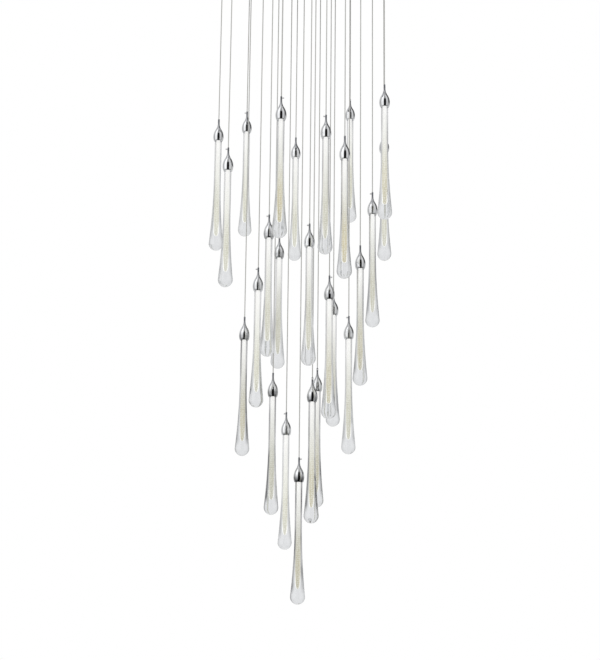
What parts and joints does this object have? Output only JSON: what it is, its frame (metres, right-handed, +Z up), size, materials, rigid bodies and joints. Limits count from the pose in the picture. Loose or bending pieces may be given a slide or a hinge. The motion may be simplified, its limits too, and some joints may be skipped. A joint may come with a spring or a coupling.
{
  "type": "crystal chandelier",
  "caption": "Crystal chandelier: a round canopy with long glass drops of bubbled crystal, each in a chromed teardrop cap on its own thin cord, hung at stepped heights.",
  "frame": {"origin": "centre of the canopy's top, in the plane of the ceiling that it is screwed to", "axes": "+Z up, the drops hang towards -Z; -Y is the side that the picture shows; +X is to its right"},
  "size_m": [0.6052, 0.6052, 2.0475],
  "materials": {
    "bracket_steel": "galvanised sheet",
    "canopy_chrome": "mirror polished",
    "screw_chrome": "polished",
    "grip_chrome": "polished",
    "locknut_steel": "zinc plated",
    "cord_sleeve": "clear sleeve over a fine silver cord",
    "driver_case": "moulded",
    "terminal_nylon": "moulded",
    "cap_chrome": "mirror polished",
    "drop_glass": "clear, with a champagne core of fine bubbles"
  },
  "bodies": {
    "canopy": {"mounting_bracket": "bracket_steel", "canopy_pan": "canopy_chrome", "canopy_screws": "screw_chrome", "cord_grips": "grip_chrome", "grip_locknuts": "locknut_steel", "pendant_cords": "cord_sleeve", "led_drivers": "driver_case", "terminal_block": "terminal_nylon"},
    "pendant_01": {"chrome_cap_01": "cap_chrome", "glass_drop_01": "drop_glass"},
    "pendant_02": {"chrome_cap_02": "cap_chrome", "glass_drop_02": "drop_glass"},
    "pendant_03": {"chrome_cap_03": "cap_chrome", "glass_drop_03": "drop_glass"},
    "pendant_04": {"chrome_cap_04": "cap_chrome", "glass_drop_04": "drop_glass"},
    "pendant_05": {"chrome_cap_05": "cap_chrome", "glass_drop_05": "drop_glass"},
    "pendant_06": {"chrome_cap_06": "cap_chrome", "glass_drop_06": "drop_glass"},
    "pendant_07": {"chrome_cap_07": "cap_chrome", "glass_drop_07": "drop_glass"},
    "pendant_08": {"chrome_cap_08": "cap_chrome", "glass_drop_08": "drop_glass"},
    "pendant_09": {"chrome_cap_09": "cap_chrome", "glass_drop_09": "drop_glass"},
    "pendant_10": {"chrome_cap_10": "cap_chrome", "glass_drop_10": "drop_glass"},
    "pendant_11": {"chrome_cap_11": "cap_chrome", "glass_drop_11": "drop_glass"},
    "pendant_12": {"chrome_cap_12": "cap_chrome", "glass_drop_12": "drop_glass"},
    "pendant_13": {"chrome_cap_13": "cap_chrome", "glass_drop_13": "drop_glass"},
    "pendant_14": {"chrome_cap_14": "cap_chrome", "glass_drop_14": "drop_glass"},
    "pendant_15": {"chrome_cap_15": "cap_chrome", "glass_drop_15": "drop_glass"},
    "pendant_16": {"chrome_cap_16": "cap_chrome", "glass_drop_16": "drop_glass"},
    "pendant_17": {"chrome_cap_17": "cap_chrome", "glass_drop_17": "drop_glass"},
    "pendant_18": {"chrome_cap_18": "cap_chrome", "glass_drop_18": "drop_glass"},
    "pendant_19": {"chrome_cap_19": "cap_chrome", "glass_drop_19": "drop_glass"},
    "pendant_20": {"chrome_cap_20": "cap_chrome", "glass_drop_20": "drop_glass"},
    "pendant_21": {"chrome_cap_21": "cap_chrome", "glass_drop_21": "drop_glass"},
    "pendant_22": {"chrome_cap_22": "cap_chrome", "glass_drop_22": "drop_glass"},
    "pendant_23": {"chrome_cap_23": "cap_chrome", "glass_drop_23": "drop_glass"},
    "pendant_24": {"chrome_cap_24": "cap_chrome", "glass_drop_24": "drop_glass"},
    "pendant_25": {"chrome_cap_25": "cap_chrome", "glass_drop_25": "drop_glass"}
  },
  "joints": [
    {"name": "swing_01", "type": "hinge", "parent": "canopy", "child": "pendant_01", "pos_m": [0.153, 0.218, -0.045], "axis": [1, 0, 0], "range_deg": [-5, 5], "deforming": ["pendant_cords"]},
    {"name": "swing_02", "type": "hinge", "parent": "canopy", "child": "pendant_02", "pos_m": [-0.181, 0.188, -0.045], "axis": [1, 0, 0], "range_deg": [-5, 5], "deforming": ["pendant_cords"]},
    {"name": "swing_03", "type": "hinge", "parent": "canopy", "child": "pendant_03", "pos_m": [0.242, -0.112, -0.045], "axis": [1, 0, 0], "range_deg": [-5, 5], "deforming": ["pendant_cords"]},
    {"name": "swing_04", "type": "hinge", "parent": "canopy", "child": "pendant_04", "pos_m": [-0.023, 0.265, -0.045], "axis": [1, 0, 0], "range_deg": [-3.4, 5], "deforming": ["pendant_cords"]},
    {"name": "swing_05", "type": "hinge", "parent": "canopy", "child": "pendant_05", "pos_m": [-0.259, 0.023, -0.045], "axis": [1, 0, 0], "range_deg": [-5, 5], "deforming": ["pendant_cords"]},
    {"name": "swing_06", "type": "hinge", "parent": "canopy", "child": "pendant_06", "pos_m": [0.253, 0.069, -0.045], "axis": [1, 0, 0], "range_deg": [-5, 5], "deforming": ["pendant_cords"]},
    {"name": "swing_07", "type": "hinge", "parent": "canopy", "child": "pendant_07", "pos_m": [-0.062, -0.257, -0.045], "axis": [1, 0, 0], "range_deg": [-5, 5], "deforming": ["pendant_cords"]},
    {"name": "swing_08", "type": "hinge", "parent": "canopy", "child": "pendant_08", "pos_m": [0.067, -0.19, -0.045], "axis": [1, 0, 0], "range_deg": [-5, 3.1], "deforming": ["pendant_cords"]},
    {"name": "swing_09", "type": "hinge", "parent": "canopy", "child": "pendant_09", "pos_m": [0.12, -0.241, -0.045], "axis": [1, 0, 0], "range_deg": [-5, 5], "deforming": ["pendant_cords"]},
    {"name": "swing_10", "type": "hinge", "parent": "canopy", "child": "pendant_10", "pos_m": [-0.216, -0.153, -0.045], "axis": [1, 0, 0], "range_deg": [-5, 5], "deforming": ["pendant_cords"]},
    {"name": "swing_11", "type": "hinge", "parent": "canopy", "child": "pendant_11", "pos_m": [0.213, 0.005, -0.045], "axis": [1, 0, 0], "range_deg": [-5, 5], "deforming": ["pendant_cords"]},
    {"name": "swing_12", "type": "hinge", "parent": "canopy", "child": "pendant_12", "pos_m": [-0.069, 0.115, -0.045], "axis": [1, 0, 0], "range_deg": [-2.4, 5], "deforming": ["pendant_cords"]},
    {"name": "swing_13", "type": "hinge", "parent": "canopy", "child": "pendant_13", "pos_m": [-0.094, -0.14, -0.045], "axis": [1, 0, 0], "range_deg": [-5, 4.1], "deforming": ["pendant_cords"]},
    {"name": "swing_14", "type": "hinge", "parent": "canopy", "child": "pendant_14", "pos_m": [0.023, -0.13, -0.045], "axis": [1, 0, 0], "range_deg": [-5, 2], "deforming": ["pendant_cords"]},
    {"name": "swing_15", "type": "hinge", "parent": "canopy", "child": "pendant_15", "pos_m": [0.173, -0.065, -0.045], "axis": [1, 0, 0], "range_deg": [-5, 3.9], "deforming": ["pendant_cords"]},
    {"name": "swing_16", "type": "hinge", "parent": "canopy", "child": "pendant_16", "pos_m": [-0.127, -0.03, -0.045], "axis": [1, 0, 0], "range_deg": [-4.1, 5], "deforming": ["pendant_cords"]},
    {"name": "swing_17", "type": "hinge", "parent": "canopy", "child": "pendant_17", "pos_m": [0.101, 0.155, -0.045], "axis": [1, 0, 0], "range_deg": [-5, 5], "deforming": ["pendant_cords"]},
    {"name": "swing_18", "type": "hinge", "parent": "canopy", "child": "pendant_18", "pos_m": [0.082, -0.11, -0.045], "axis": [1, 0, 0], "range_deg": [-3.1, 5], "deforming": ["pendant_cords"]},
    {"name": "swing_19", "type": "hinge", "parent": "canopy", "child": "pendant_19", "pos_m": [0.145, 0.06, -0.045], "axis": [1, 0, 0], "range_deg": [-3.9, 5], "deforming": ["pendant_cords"]},
    {"name": "swing_20", "type": "hinge", "parent": "canopy", "child": "pendant_20", "pos_m": [-0.168, 0.04, -0.045], "axis": [1, 0, 0], "range_deg": [-5, 5], "deforming": ["pendant_cords"]},
    {"name": "swing_21", "type": "hinge", "parent": "canopy", "child": "pendant_21", "pos_m": [0.052, 0.092, -0.045], "axis": [1, 0, 0], "range_deg": [-3.5, 5], "deforming": ["pendant_cords"]},
    {"name": "swing_22", "type": "hinge", "parent": "canopy", "child": "pendant_22", "pos_m": [-0.08, 0.034, -0.045], "axis": [1, 0, 0], "range_deg": [-5, 2.4], "deforming": ["pendant_cords"]},
    {"name": "swing_23", "type": "hinge", "parent": "canopy", "child": "pendant_23", "pos_m": [0.036, -0.058, -0.045], "axis": [1, 0, 0], "range_deg": [-2, 3.5], "deforming": ["pendant_cords"]},
    {"name": "swing_24", "type": "hinge", "parent": "canopy", "child": "pendant_24", "pos_m": [-0.041, 0.188, -0.045], "axis": [1, 0, 0], "range_deg": [-5, 3.4], "deforming": ["pendant_cords"]},
    {"name": "swing_25", "type": "hinge", "parent": "canopy", "child": "pendant_25", "pos_m": [0, 0, -0.045], "axis": [1, 0, 0], "range_deg": [-4.9, 5], "deforming": ["pendant_cords"]}
  ]
}
